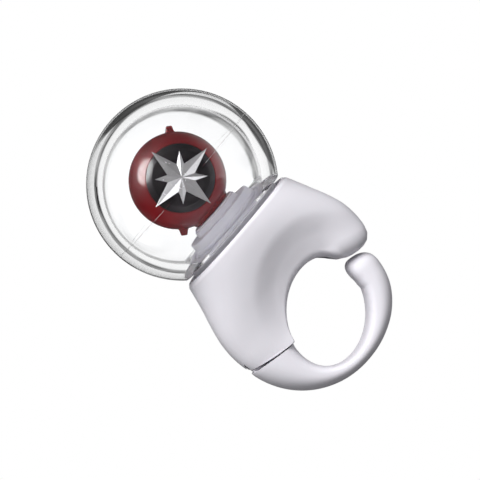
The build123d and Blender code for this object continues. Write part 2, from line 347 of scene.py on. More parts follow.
@dataclass(frozen=True)
class Metal:
    """Metal with fine working marks along one direction."""

    name: str
    colour: tuple[float, float, float]
    worn: tuple[float, float, float]
    rough: float
    stretch: tuple[float, float, float] = (1.0, 1.0, 1.0)
    marks: float = 0.002
    metallic: float = 1.0

    def make(self) -> bpy.types.Material:
        """Build the material."""
        paint = Paint(self.name)
        lines = paint.noise(3.0, 3.0, 0.6, self.stretch)
        cloud = paint.noise(0.4, 2.0)
        paint.link(Base_Color=paint.mixed(cloud.above(0.5, 0.4), self.colour, self.worn),
                   Roughness=self.rough + (lines - 0.5) * 0.2)
        paint.fix(Metallic=self.metallic)
        paint.bump(lines, self.marks)
        return paint.material


@dataclass(frozen=True)
class Rubber:
    """Matt black rubber."""

    name: str

    def make(self) -> bpy.types.Material:
        """Build the material."""
        paint = Paint(self.name)
        fine = paint.noise(3.0, 3.0)
        paint.link(Base_Color=paint.mixed(fine, (0.02, 0.02, 0.021), (0.045, 0.044, 0.046)),
                   Roughness=0.75 + (fine - 0.5) * 0.2)
        paint.bump(fine, 0.01)
        return paint.material


class Finish(Enum):
    """Every finish of the object, with the record's material slot as its name."""

    housing_plastic = SatinPlastic("satin_lilac_grey", (0.70, 0.685, 0.73), (0.675, 0.66, 0.705))
    arm_plastic = SatinPlastic("satin_lilac_grey_arm", (0.69, 0.675, 0.72), (0.66, 0.645, 0.69))
    clear_plastic = ClearPlastic("clear_acrylic")
    frosted_plastic = FrostedPlastic("frosted_lilac", (0.76, 0.745, 0.83), (0.83, 0.82, 0.89))
    red_plastic = GlossPlastic("gloss_deep_red", (0.20, 0.006, 0.010), (0.15, 0.004, 0.007))
    black_plastic = GlossPlastic("satin_black", (0.016, 0.011, 0.015), (0.010, 0.007, 0.009), 0.36, coat=0.6)
    silver_star = Metal("bright_star", (0.82, 0.81, 0.83), (0.74, 0.73, 0.75), 0.24, stretch=(1.0, 1.0, 0.4),
                        marks=0.0002, metallic=0.7)
    screw_steel = Metal("zinc_screw", (0.62, 0.62, 0.64), (0.50, 0.50, 0.52), 0.32)
    spring_steel = Metal("spring_wire", (0.60, 0.60, 0.62), (0.48, 0.48, 0.50), 0.25)
    pin_steel = Metal("ground_pin", (0.66, 0.66, 0.68), (0.55, 0.55, 0.57), 0.2, stretch=(1.0, 0.1, 1.0))
    white_plastic = SatinPlastic("white_inner", (0.78, 0.78, 0.77), (0.74, 0.74, 0.73), 0.5)
    black_rubber = Rubber("bumper_rubber")


class Wardrobe:
    """Makes each finish once and puts it on pieces."""

    def __init__(self) -> None:
        """Start with no material made."""
        self.made: dict[Finish, bpy.types.Material] = {}

    def dress(self, piece: bpy.types.Object, finish: Finish) -> None:
        """Give a piece one finish."""
        if finish not in self.made:
            self.made[finish] = finish.value.make()
        piece.data.materials.clear()
        piece.data.materials.append(self.made[finish])


# ---------------------------------------------------------------- mesh tools
def smooth_step(value: Array) -> Array:
    """Rise from 0 to 1 with level ends: 3 t squared less 2 t cubed, for t kept from 0 to 1."""
    t = np.clip(value, 0.0, 1.0)
    return t * t * (3.0 - 2.0 * t)


def hermite(at: Array, knots: Sequence[float], values: Sequence[float]) -> Array:
    """Smooth curve through knots: a cubic in each span whose slopes are the central differences.

    Args:
        at: where to read the curve.
        knots: rising places.
        values: the value at each place.
    Returns:
        The curve's values.
    """
    k, v = np.asarray(knots, float), np.asarray(values, float)
    slope = np.gradient(v, k)
    i = np.clip(np.searchsorted(k, at) - 1, 0, len(k) - 2)
    span = k[i + 1] - k[i]
    t = (at - k[i]) / span
    return ((2 * t ** 3 - 3 * t ** 2 + 1) * v[i] + (t ** 3 - 2 * t ** 2 + t) * span * slope[i]
            + (3 * t ** 2 - 2 * t ** 3) * v[i + 1] + (t ** 3 - t ** 2) * span * slope[i + 1])


def by_length(path: Array, count: int) -> Array:
    """The path read again at equal steps of its length."""
    step = np.linalg.norm(np.diff(path, axis=0), axis=1)
    along = np.concatenate([[0.0], np.cumsum(step)])
    want = np.linspace(0.0, along[-1], count)
    return np.stack([np.interp(want, along, path[:, axis]) for axis in range(path.shape[1])], axis=1)


def arc(centre: Sequence[float], radius: float, start: float, end: float, count: int) -> Array:
    """Points of an arc: centre plus radius times (cos, sin) of the angle, in degrees."""
    angle = np.radians(np.linspace(start, end, count))
    return np.stack([centre[0] + radius * np.cos(angle), centre[1] + radius * np.sin(angle)], axis=1)


def rounded(corners: Sequence[Sequence[float]], radius: float, steps: int = 5, closed: bool = True) -> Array:
    """Outline whose corners are quadratic curves that begin and end one radius from the corner.

    Args:
        corners: the outline's corners.
        radius: distance of each curve's ends from its corner, at most 45% of the shorter side.
        steps: points of each curve.
        closed: whether the last corner joins the first.
    Returns:
        The points, corner by corner.
    """
    c = np.asarray(corners, float)
    before, after = np.roll(c, 1, axis=0), np.roll(c, -1, axis=0)
    if not closed:
        before[0], after[-1] = c[0], c[-1]
    arms = []
    for other in (before, after):
        side = other - c
        length = np.maximum(np.linalg.norm(side, axis=1, keepdims=True), 1e-9)
        arms.append(c + side / length * np.minimum(radius, 0.45 * length))
    t = np.linspace(0.0, 1.0, steps)[None, :, None]
    curve = (1 - t) ** 2 * arms[0][:, None] + 2 * t * (1 - t) * c[:, None] + t ** 2 * arms[1][:, None]
    return curve.reshape(-1, c.shape[1])


def grid_mesh(name: str, grid: Array, wrap_rows: bool = False, wrap_columns: bool = False,
              cap_rows: bool = False, cap_columns: bool = False, sharp: float = 35.0) -> bpy.types.Object:
    """Mesh over a grid of points, with one quad for each cell.

    Args:
        name: the piece's name.
        grid: points in millimetres, rows by columns by 3.
        wrap_rows: whether the last row joins the first.
        wrap_columns: whether the last column joins the first.
        cap_rows: close the first and last row with one face each.
        cap_columns: close the first and last column with one face each.
        sharp: edges that turn by more than this many degrees stay crisp.
    Returns:
        The object, merged, closed and with its faces outwards.
    """
    rows, columns = grid.shape[:2]
    index = np.arange(rows * columns).reshape(rows, columns)
    if wrap_rows:
        index = np.concatenate([index, index[:1]], axis=0)
    if wrap_columns:
        index = np.concatenate([index, index[:, :1]], axis=1)
    corners = (index[:-1, :-1], index[1:, :-1], index[1:, 1:], index[:-1, 1:])
    faces = np.stack(corners, axis=-1).reshape(-1, 4).tolist()
    if cap_rows:
        faces += [index[0, :columns].tolist(), index[rows - 1, :columns].tolist()[::-1]]
    if cap_columns:
        faces += [index[:rows, 0].tolist(), index[:rows, columns - 1].tolist()[::-1]]
    mesh = bpy.data.meshes.new(name)
    mesh.from_pydata((grid.reshape(-1, 3) * MM).tolist(), [], faces)
    piece = bpy.data.objects.new(name, mesh)
    bpy.context.scene.collection.objects.link(piece)
    tidy_mesh(mesh)
    finish_normals(mesh, sharp)
    return piece


def tidy_mesh(mesh: bpy.types.Mesh) -> None:
    """Merge coincident points, drop faces of no area and turn every face outwards."""
    work = bmesh.new()
    work.from_mesh(mesh)
    bmesh.ops.remove_doubles(work, verts=work.verts, dist=2e-7)
    bmesh.ops.dissolve_degenerate(work, edges=work.edges, dist=1e-7)
    bmesh.ops.recalc_face_normals(work, faces=work.faces)
    work.to_mesh(mesh)
    work.free()


def finish_normals(mesh: bpy.types.Mesh, sharp: float) -> None:
    """Shade smooth, with crisp edges where the surface turns sharply."""
    mesh.polygons.foreach_set("use_smooth", np.ones(len(mesh.polygons), bool))
    mesh.set_sharp_from_angle(angle=radians(sharp))
    mesh.update()


def turned(name: str, profile: Array, axis: str = "Z", centre: Sequence[float] = (0.0, 0.0, 0.0),
           segments: int = 144, closed: bool = True, sharp: float = 35.0) -> bpy.types.Object:
    """Profile of (radius, height) turned about an axis: the radius times the cosine and sine of the angle.

    Args:
        name: the piece's name.
        profile: radius and height of each point.
        axis: "Z" for upright, "Y" for an axis that points to the back.
        centre: the point that height 0 stands at.
        segments: steps round the axis.
        closed: whether the profile is a loop; an open one ends on the axis.
        sharp: edges that turn by more than this many degrees stay crisp.
    Returns:
        The object.
    """
    angle = np.linspace(0.0, 2 * np.pi, segments, endpoint=False)
    r, h = profile[:, :1], np.repeat(profile[:, 1:], segments, axis=1)
    across, side = r * np.cos(angle), r * np.sin(angle)
    order = (across, side, h) if axis == "Z" else (across, h, side)
    grid = np.stack(order, axis=-1) + np.asarray(centre, float)
    return grid_mesh(name, grid, wrap_rows=closed, wrap_columns=True, sharp=sharp)


def carve(piece: bpy.types.Object, cutters: Iterable[bpy.types.Object], sharp: float = 35.0) -> None:
    """Cut closed shapes out of a piece, and remove the cutters."""
    for cutter in cutters:
        cut = piece.modifiers.new("cut", "BOOLEAN")
        cut.operation, cut.solver, cut.object = "DIFFERENCE", "MANIFOLD", cutter
        graph = bpy.context.evaluated_depsgraph_get()
        mesh = bpy.data.meshes.new_from_object(piece.evaluated_get(graph))
        piece.modifiers.clear()
        piece.data = mesh
        bpy.data.objects.remove(cutter)
    finish_normals(piece.data, sharp)


def box_cutter(low: Sequence[float], high: Sequence[float]) -> bpy.types.Object:
    """Closed box between two corners: a square section carried upwards."""
    (x0, y0, z0), (x1, y1, z1) = low, high
    ring = np.array([[x0, y0], [x1, y0], [x1, y1], [x0, y1]])
    grid = np.stack([np.column_stack([ring, np.full(4, z)]) for z in (z0, z1)])
    return grid_mesh("cutter", grid, wrap_columns=True, cap_rows=True)


def rod_cutter(radius: float, near: float, far: float, x: float, z: float) -> bpy.types.Object:
    """Closed cylinder along Y."""
    profile = np.array([[0.0, near], [radius, near], [radius, far], [0.0, far]])
    return turned("cutter", profile, "Y", (x, 0.0, z), 48, closed=False)


def spot(node: str) -> tuple[Array, Array]:
    """Lowest and highest corner of a CAD node, in millimetres."""
    low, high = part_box(node)
    return np.array(low) / MM, np.array(high) / MM


def place(piece: bpy.types.Object, body: str, wardrobe: Wardrobe, finish: Finish, *nodes: str) -> None:
    """Dress a piece, let it ride on a body and let it stand for CAD nodes."""
    wardrobe.dress(piece, finish)
    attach(piece, body)
    if nodes:
        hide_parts(*nodes)
    log.info("%s: %d faces on %s", piece.name, len(piece.data.polygons), body)


# ---------------------------------------------------------------- globe
@dataclass
class Globe:
    """Clear globe in two bonded halves, its sliding collar, and the disc and pedestal inside."""

    wall: float = 3.5
    collar_r: float = 13.4
    bore_r: float = 12.2
    flange_r: float = 14.1
    flange_top: float = 25.0
    edge_z: float = 27.1
    glue_line: float = 0.012
    neck_round: float = 0.15
    disc_bore: float = 5.03
    disc_play: float = 0.03
    disc_bevel: float = 0.5
    disc_groove: tuple[float, float, float, float] = (10.6, 10.3, 9.75, 9.55)
    disc_groove_depth: float = 0.35
    disc_round: float = 0.12
    stem_bore: float = 1.05
    seat_gap: float = 0.01
    tier_step: float = 2.4
    tier_ledge: tuple[float, float] = (0.6, 3.1)
    lower_tier: tuple[tuple[float, float], ...] = ((0.0, 0.01), (0.1, 0.55), (0.32, 0.7))
    upper_tier: tuple[tuple[float, float], ...] = ((3.3, 0.45), (3.62, 0.3), (3.7, 0.01))
    tier_round: float = 0.16

    def __post_init__(self) -> None:
        """Read the outer size from the CAD nodes."""
        low, high = spot("globe_upper")
        self.radius = (high[0] - low[0]) / 2
        self.centre = low[2]
        self.bottom = spot("globe_lower")[0][2]
        self.inner = self.radius - self.wall

    def meridian(self, radius: float, start: float, end: float, count: int) -> Array:
        """Points of the globe's section: radius and height from one elevation to another, in degrees."""
        return arc((0.0, self.centre), radius, start, end, count)

    def upper(self) -> bpy.types.Object:
        """Upper half: outer arc from the pole to the equator, then the inner arc back.

        Returns:
            The object.
        """
        lift = np.degrees(self.glue_line / self.radius)
        outer = self.meridian(self.radius, 90.0, lift, 60)
        inner = self.meridian(self.inner, lift, 90.0, 60)
        return turned("globe_upper_shell", np.concatenate([outer, inner]), closed=False, segments=192)

    def lower(self) -> bpy.types.Object:
        """Lower half: outer arc down to the cut edge, collar and flange, then up the bore to the inner arc.

        Returns:
            The object.
        """
        lift = np.degrees(self.glue_line / self.radius)
        cut = np.degrees(np.arcsin((self.edge_z - self.centre) / self.radius))
        outer = self.meridian(self.radius, -lift, cut, 40)
        edge = np.degrees(np.arccos(self.bore_r / self.inner))
        inner = self.meridian(self.inner, -edge, -lift, 40)
        corners = [(outer[-1, 0] - 0.02, self.edge_z - 0.05), (self.collar_r, self.edge_z),
                   (self.collar_r, self.flange_top), (self.flange_r, self.flange_top),
                   (self.flange_r, self.bottom), (self.bore_r, self.bottom)]
        neck = rounded(corners, self.neck_round, closed=False)
        return turned("globe_lower_shell", np.concatenate([outer, neck, inner]), segments=192)

    def disc(self) -> bpy.types.Object:
        """Base disc, with a groove round the land under the pedestal and a bevelled edge.

        Returns:
            The object.
        """
        low, high = spot("base_disc")
        reach, base, top = high[0] - self.disc_play, low[2], high[2]
        floor = top - self.disc_groove_depth
        groove = zip(self.disc_groove, (top, floor, floor, top))
        corners = [(self.disc_bore, base), (reach, base), (reach, top - self.disc_bevel),
                   (reach - self.disc_bevel, top), *groove, (self.disc_bore, top)]
        return turned("base_disc_clear", rounded(corners, self.disc_round), segments=160)

    def pedestal(self) -> bpy.types.Object:
        """Frosted pedestal: two tiers with softened edges, given as distances in from the outer radius and up
        from the base or down from the top.

        Returns:
            The object.
        """
        low, high = spot("pedestal")
        reach, base, top = high[0], low[2], high[2]
        corners = [(self.stem_bore, base + self.seat_gap)]
        corners += [(reach - inset, base + rise) for inset, rise in self.lower_tier]
        corners += [(reach - inset, base + self.tier_step) for inset in self.tier_ledge]
        corners += [(reach - inset, top - drop) for inset, drop in self.upper_tier]
        corners.append((self.stem_bore, top - self.seat_gap))
        return turned("pedestal_frosted", rounded(corners, self.tier_round), segments=128)

    def build(self, wardrobe: Wardrobe) -> None:
        """Build and dress every piece of the globe.

        Args:
            wardrobe: where the finishes come from.
        """
        for make, node, finish in ((self.upper, "globe_upper", Finish.clear_plastic),
                                   (self.lower, "globe_lower", Finish.clear_plastic),
                                   (self.disc, "base_disc", Finish.frosted_plastic),
                                   (self.pedestal, "pedestal", Finish.frosted_plastic)):
            place(make(), "dome", wardrobe, finish, node)


# ---------------------------------------------------------------- ball
@dataclass
class Ball:
    """Glossy ball in two halves with a foot, two small pegs, a black badge and a compass star."""

    radius: float = 10.7
    centre_z: float = 42.9
    wall: float = 1.6
    parting: float = 0.015
    parting_depth: float = 0.09
    seat_y: float = -7.6
    seat_margin: float = 0.15
    seat_wall: float = 1.4
    badge_r: float = 7.3
    badge_thick: float = 1.2
    foot_rise: float = 1.9
    foot_low_r: tuple[float, float] = (4.45, 4.7)
    foot_high_r: float = 5.6
    foot_curve: float = 1.6
    peg_angles: tuple[float, float] = (50.0, 228.0)
    peg_levels: tuple[float, ...] = (-0.8, 0.0, 0.25, 0.9, 1.25, 1.4, 1.42)
    peg_half_widths: tuple[float, ...] = (1.15, 1.12, 0.95, 0.78, 0.70, 0.58, 0.0)
    peg_depth: float = 0.85
    peg_squareness: float = 0.5
    star_long: float = 8.2
    star_short: float = 5.6
    star_valley: float = 3.0
    star_valley_turn: float = 30.0
    star_plate: float = 0.4
    star_rise: float = 1.05
    star_bevel: float = 0.04

    def front(self) -> bpy.types.Object:
        """Front half: flat seat for the badge, a small step, then the outer arc to the parting line and back
        inside.

        Returns:
            The object.
        """
        seat = self.badge_r + self.seat_margin
        start = np.degrees(np.arccos(seat / self.radius))
        outer = arc((0.0, 0.0), self.radius, -start, -0.5, 60)
        lip = rounded([(0.0, self.seat_y), (seat - 0.1, self.seat_y), (outer[0, 0], outer[0, 1])], 0.1,
                      closed=False)
        edge = np.array([[self.radius - self.parting_depth, -self.parting]])
        bore, floor_y = self.radius - self.wall, self.seat_y + self.seat_wall
        hollow = np.sqrt(bore ** 2 - floor_y ** 2)
        inner = arc((0.0, 0.0), bore, -0.1, -np.degrees(np.arccos(hollow / bore)), 30)
        profile = np.concatenate([lip, outer, edge, inner, [[0.0, floor_y]]])
        return turned("ball_front_shell", profile, "Y", (0, 0, self.centre_z), 160, closed=False)

    def rear(self) -> bpy.types.Object:
        """Rear half: outer arc from the pole to the parting line, then the inner arc back.

        Returns:
            The object.
        """
        outer = arc((0.0, 0.0), self.radius, 90.0, 0.5, 70)
        edge = np.array([[self.radius - self.parting_depth, self.parting]])
        inner = arc((0.0, 0.0), self.radius - self.wall, 0.1, 90.0, 40)
        profile = np.concatenate([outer, edge, inner])
        return turned("ball_rear_shell", profile, "Y", (0, 0, self.centre_z), 160, closed=False)

    def foot(self) -> bpy.types.Object:
        """Short foot under the ball: its side widens evenly while its height goes as the share to a power.

        Returns:
            The object.
        """
        base = spot("pedestal")[1][2]
        inner, outer = self.foot_low_r
        share = np.linspace(0, 1, 12)
        side = np.column_stack([np.interp(share, [0, 1], [outer, self.foot_high_r]),
                                base + 0.05 + share ** self.foot_curve * self.foot_rise])
        profile = np.concatenate([[(0.0, base + 0.01), (inner, base + 0.01)], side,
                                  [(0.0, base + 0.05 + self.foot_rise)]])
        return turned("ball_foot", profile, "Z", (0, 0, 0), 96, closed=False)

    def peg(self, number: int, angle: float) -> bpy.types.Object:
        """Tapered peg on the parting line: a squared oval that shrinks outwards and ends in a soft top.

        Args:
            number: which peg.
            angle: its direction in degrees, from +X towards +Z.
        Returns:
            The object.
        """
        levels, wide = np.array(self.peg_levels), np.array(self.peg_half_widths)
        turn = np.linspace(0, 2 * np.pi, 32, endpoint=False)
        c, s = np.cos(turn), np.sin(turn)
        along = wide[:, None] * np.sign(c) * np.abs(c) ** self.peg_squareness
        depth = self.peg_depth * wide[:, None] * np.sign(s) * np.abs(s) ** self.peg_squareness
        out = np.array([cos(radians(angle)), 0.0, sin(radians(angle))])
        across = np.array([-sin(radians(angle)), 0.0, cos(radians(angle))])
        grid = ((self.radius + levels)[:, None, None] * out + along[..., None] * across
                + depth[..., None] * np.array([0.0, 1.0, 0.0]) + np.array([0.0, 0.0, self.centre_z]))
        return grid_mesh(f"ball_peg_{number}", grid, wrap_columns=True, cap_rows=True, sharp=50.0)

    def badge(self) -> bpy.types.Object:
        """Black disc whose rim carries on the round of the ball up to its flat front.

        Returns:
            The object.
        """
        front, back = self.seat_y - self.badge_thick, self.seat_y - 0.01
        flat = np.degrees(np.arcsin(-front / self.radius))
        edge = np.degrees(np.arccos(self.badge_r / self.radius))
        dome = arc((0.0, 0.0), self.radius, -edge, -flat, 16)
        behind = [(0.0, back), (self.badge_r - 0.1, back), (self.badge_r, back - 0.08)]
        face = [(dome[-1, 0] - 0.25, front - 0.01), (0.0, front - 0.01)]
        profile = np.concatenate([behind, dome, face])
        return turned("badge", profile, "Y", (0, 0, self.centre_z), 128, closed=False)

    def star(self) -> bpy.types.Object:
        """Eight-pointed compass rose: the reach goes long, valley, short, valley round the centre, and every
        point rises in two flat facets to the middle.

        Returns:
            The object.
        """
        step = np.arange(16)
        point = np.where(step % 4 == 0, self.star_long, self.star_short)
        reach = np.where(step % 2 == 1, self.star_valley, point)
        lean = self.star_valley_turn - 22.5
        angle = np.radians(22.5 * step + np.where(step % 4 == 1, lean, np.where(step % 4 == 3, -lean, 0.0)))
        back = self.seat_y - self.badge_thick - 0.01
        x, z = reach * np.cos(angle), reach * np.sin(angle)
        ring = np.stack([x, np.full(16, back), z], axis=1)
        raised = ring - [0.0, self.star_plate, 0.0]
        levels = [ring * [0, 1, 0], ring, raised, raised * [0, 1, 0] - [0, self.star_rise, 0]]
        grid = np.stack(levels) + np.array([0.0, 0.0, self.centre_z])
        piece = grid_mesh("compass_star_faceted", grid, wrap_columns=True, sharp=1.0)
        bevel = piece.modifiers.new("soft_edges", "BEVEL")
        bevel.width, bevel.segments = self.star_bevel * MM, 2
        bevel.limit_method, bevel.angle_limit = "ANGLE", radians(8)
        bevel.harden_normals = True
        return piece

    def build(self, wardrobe: Wardrobe) -> None:
        """Build and dress every piece of the ball.

        Args:
            wardrobe: where the finishes come from.
        """
        place(self.front(), "dome", wardrobe, Finish.red_plastic, "ball_front")
        place(self.rear(), "dome", wardrobe, Finish.red_plastic, "ball_rear")
        place(self.foot(), "dome", wardrobe, Finish.red_plastic)
        for number, angle in enumerate(self.peg_angles):
            place(self.peg(number, angle), "dome", wardrobe, Finish.red_plastic)
        place(self.badge(), "dome", wardrobe, Finish.black_plastic, "badge_disc")
        place(self.star(), "dome", wardrobe, Finish.silver_star, "compass_star")


# ---------------------------------------------------------------- housing
@dataclass
class FingerOval:
    """The oval finger opening, which leans 45 degrees."""

    centre: tuple[float, float] = (-0.5, -0.35)
    half_long: float = 11.95
    half_short: float = 9.3
    tilt: float = 45.0

    def point(self, turn: Array) -> Array:
        """Points of the oval: the two half axes times the cosine and sine of an angle from its long axis.

        Args:
            turn: the angles, in degrees.
        Returns:
            Their x and z.
        """
        t, lean = np.radians(turn), radians(self.tilt)
        u, v = self.half_long * np.cos(t), self.half_short * np.sin(t)
        return np.stack([self.centre[0] + u * cos(lean) - v * sin(lean),
                         self.centre[1] + u * sin(lean) + v * cos(lean)], axis=-1)


@dataclass
class Housing:
    """Egg-cup shaped housing that ends in a saddle over the finger, with a beak on the right.

    The outside is a squared oval whose left and right edge, depth and power follow the heights. The chamber
    is a stair of (radius, height) from its floor up to the rim's bore.
    """

    heights: tuple[float, ...] = (-3.0, 2.0, 5.0, 8.0, 12.0, 16.0, 20.0, 23.0, 26.1)
    left: tuple[float, ...] = (-19.6, -20.9, -21.45, -21.5, -20.9, -19.6, -18.0, -16.95, -15.9)
    right: tuple[float, ...] = (16.8, 18.4, 19.5, 20.05, 20.15, 19.3, 18.0, 17.0, 15.9)
    depth: tuple[float, ...] = (7.0, 7.6, 8.2, 9.1, 10.7, 12.6, 14.3, 15.3, 15.9)
    power: tuple[float, ...] = (2.7, 2.7, 2.65, 2.5, 2.35, 2.2, 2.1, 2.03, 2.0)
    seam_inner: tuple[float, float] = (-10.4, 0.8)
    seam_outer: tuple[float, float] = (-21.2, 3.7)
    seam_stop: float = -11.6
    seam_lift: tuple[float, float] = (-9.75, 2.6)
    seam_round: float = 0.5
    oval_span: tuple[float, float] = (112.0, -14.0)
    beak: tuple[tuple[float, float], ...] = (
        (10.35, 4.7), (11.5, 3.85), (12.6, 3.38), (14.2, 2.92), (15.8, 2.75), (17.3, 2.95), (18.6, 3.85),
        (19.35, 5.3), (19.85, 7.0))
    beak_top: float = 8.6
    rim_z: float = 26.1
    rim_bore: float = 13.65
    rim_bevel: tuple[float, float] = (0.3, 0.09)
    rim_flat: float = 15.2
    rim_round: float = 0.6
    rim_turns: tuple[float, ...] = (25.0, 50.0, 70.0)
    rim_drop: float = 0.7
    chamber: tuple[tuple[float, float], ...] = (
        (8.5, 13.2), (8.5, 18.8), (9.55, 18.8), (9.55, 22.2), (14.4, 22.2), (14.4, 25.1))
    scoop_centre: tuple[float, float] = (3.2, 2.8)
    scoop_r: tuple[float, float] = (17.6, 11.0)
    scoop_depth: float = 0.8
    scoop_slow: tuple[float, float] = (0.72, 0.85)
    scoop_fast: tuple[float, float] = (0.28, 0.4)
    scoop_most: float = 1.4
    scoop_span: tuple[float, float] = (8.0, 222.0)
    scoop_fade: tuple[float, float] = (45.0, 50.0)
    scoop_side: float = 5.0
    lip_x: tuple[float, ...] = (-24.0, -11.2, -9.0, -4.0, 4.0, 10.0, 13.0, 17.0, 22.0)
    lip_round: tuple[float, ...] = (0.25, 0.25, 0.9, 1.5, 1.8, 3.2, 5.4, 5.6, 5.0)
    lip_most: float = 0.62
    lip_climb: float = 0.8
    slot_half: float = 2.6
    slot_r: float = 1.95
    slot_end: float = 2.55
    slot_drop: float = 0.5
    pin_bore: tuple[float, float] = (1.02, 3.42)
    screws: tuple[tuple[float, float], ...] = ((-14.5, 11.5), (14.8, 10.5))
    screw_head: tuple[float, float] = (2.1, 4.5)
    screw_bore: tuple[float, float] = (1.05, 4.6)
    columns: int = 260
    fine: int = 4000
    ease: float = 0.35
    end_steps: tuple[float, ...] = (0.0005, 0.0015, 0.0035, 0.007, 0.012)
    wall_rows: int = 70
    lip_rows: int = 12

    def side(self, z: Array) -> tuple[Array, Array, Array, Array]:
        """Section at a height: each measure is the smooth curve through its values at the named heights.

        Args:
            z: the heights.
        Returns:
            Middle, half length, half depth and power.
        """
        low, high, depth, power = (hermite(z, self.heights, values)
                                   for values in (self.left, self.right, self.depth, self.power))
        return (low + high) / 2, (high - low) / 2, depth, power

    def seam_z(self, x: Array) -> Array:
        """Height of the seam with the arm: a straight line."""
        slope = (self.seam_outer[1] - self.seam_inner[1]) / (self.seam_outer[0] - self.seam_inner[0])
        return self.seam_inner[1] + slope * (x - self.seam_inner[0])

    def edge_x(self, z: float, values: Sequence[float]) -> float:
        """Where the left or right edge stands at one height."""
        return hermite(np.array([z]), self.heights, values)[0]

    def bottom_line(self) -> Array:
        """Lower outline from left to right: seam, oval, underside of the beak and its rounded tip.

        The seam starts where its line meets the left edge, found in six steps from seam to edge and back.

        Returns:
            Points in x and z.
        """
        x = self.seam_outer[0]
        for _ in range(6):
            x = self.edge_x(self.seam_z(x), self.left)
        seam = np.array([[x, self.seam_z(x)], [self.seam_stop, self.seam_z(self.seam_stop)]])
        corner = rounded([seam[1], self.seam_inner, self.seam_lift], self.seam_round, 6, closed=False)[6:12]
        oval = FingerOval().point(np.linspace(*self.oval_span, 60))
        end = [self.edge_x(self.beak_top, self.right), self.beak_top]
        return np.concatenate([seam, corner, oval, self.beak, [end]])

    def smoothed(self, line: Array, count: int) -> Array:
        """The outline at even steps, closer together at both ends, where the section turns fast.

        The place along the line is a part of (1 - cos) / 2 of the share and, for the rest, the share itself.

        Args:
            line: the outline.
            count: how many steps, before those added at the ends.
        Returns:
            The points.
        """
        dense = by_length(line, self.fine + 1)
        share = np.linspace(0.0, 1.0, count)
        eased = self.ease * (1 - np.cos(np.pi * share)) / 2 + (1 - self.ease) * share
        ends = np.concatenate([[0.0], self.end_steps])
        pick = np.unique(np.concatenate([eased, ends, 1 - ends])) * self.fine
        return np.stack([np.interp(pick, np.arange(self.fine + 1), dense[:, k]) for k in range(2)], axis=1)

    def scoop(self, x: Array, z: Array) -> Array:
        """How far the face is hollowed over the finger: nothing outside the outer radius, a slow and a fast
        smooth step added together towards the inner one, and a fade along the beak and towards the seam.

        Args:
            x: places across the face.
            z: their heights.
        Returns:
            The depth at each place.
        """
        dx, dz = x - self.scoop_centre[0], z - self.scoop_centre[1]
        r, angle = np.hypot(dx, dz), np.degrees(np.arctan2(dz, dx))
        inward = np.clip((self.scoop_r[0] - r) / (self.scoop_r[0] - self.scoop_r[1]), 0.0, self.scoop_most)
        (slow, slow_reach), (fast, fast_reach) = self.scoop_slow, self.scoop_fast
        inward = slow * smooth_step(inward / slow_reach) + fast * inward * smooth_step(inward / fast_reach)
        angle = np.where(angle < -90, angle + 360, angle)
        (start, end), (start_fade, end_fade) = self.scoop_span, self.scoop_fade
        fade = smooth_step((angle - start) / start_fade) * smooth_step((end - angle) / end_fade)
        return self.scoop_depth * inward * fade

    def wall(self, c: Array, s: Array, z: Array) -> Array:
        """Outside of the front half: a squared oval, each half axis times its cosine or sine to 2 / power,
        less the scoop.

        Args:
            c: cosine of each direction.
            s: its sine.
            z: its height.
        Returns:
            The points.
        """
        middle, half, depth, power = self.side(z)
        x = middle + half * np.sign(c) * np.abs(c) ** (2 / power)
        y = depth * np.abs(s) ** (2 / power)
        y = np.maximum(y - self.scoop(x, z) * smooth_step(y / self.scoop_side), 0.0)
        return np.stack([x, -y, z], axis=-1)

    def lip_radius(self, x: Array, y: Array) -> Array:
        """Rounding of the lower edge: crisp along the seam, soft over the finger and full under the beak.

        Args:
            x: places along the edge.
            y: the depth of the section there.
        Returns:
            The smooth curve through the named roundings, at most a share of the depth.
        """
        return np.minimum(hermite(x, self.lip_x, self.lip_round), self.lip_most * np.maximum(y, 0.0))

    def half_grid(self) -> Array:
        """Grid of the front half: each column runs from the bore over the rim, down the outside, round the
        lip, across the saddle to the parting plane and back up through the chamber.

        Returns:
            Points, rows by columns by 3; the first and last column lie in the parting plane.
        """
        line = self.smoothed(self.bottom_line(), self.columns)
        xb, zb = line[:, 0], line[:, 1]
        middle, half, _, power = self.side(zb)
        reach = np.clip((xb - middle) / half, -1.0, 1.0)
        reach[0], reach[-1] = -1.0, 1.0
        c = np.sign(reach) * np.abs(reach) ** (power / 2)
        s = np.sqrt(np.maximum(1 - c ** 2, 0.0))
        foot = self.wall(c, s, zb)
        lip = self.lip_radius(xb, -foot[:, 1])

        def ring(radius: float, z: float) -> Array:
            """Half circle at a height: the radius times the cosine and sine."""
            return np.stack([radius * c, -radius * s, np.full_like(c, z)], axis=-1)

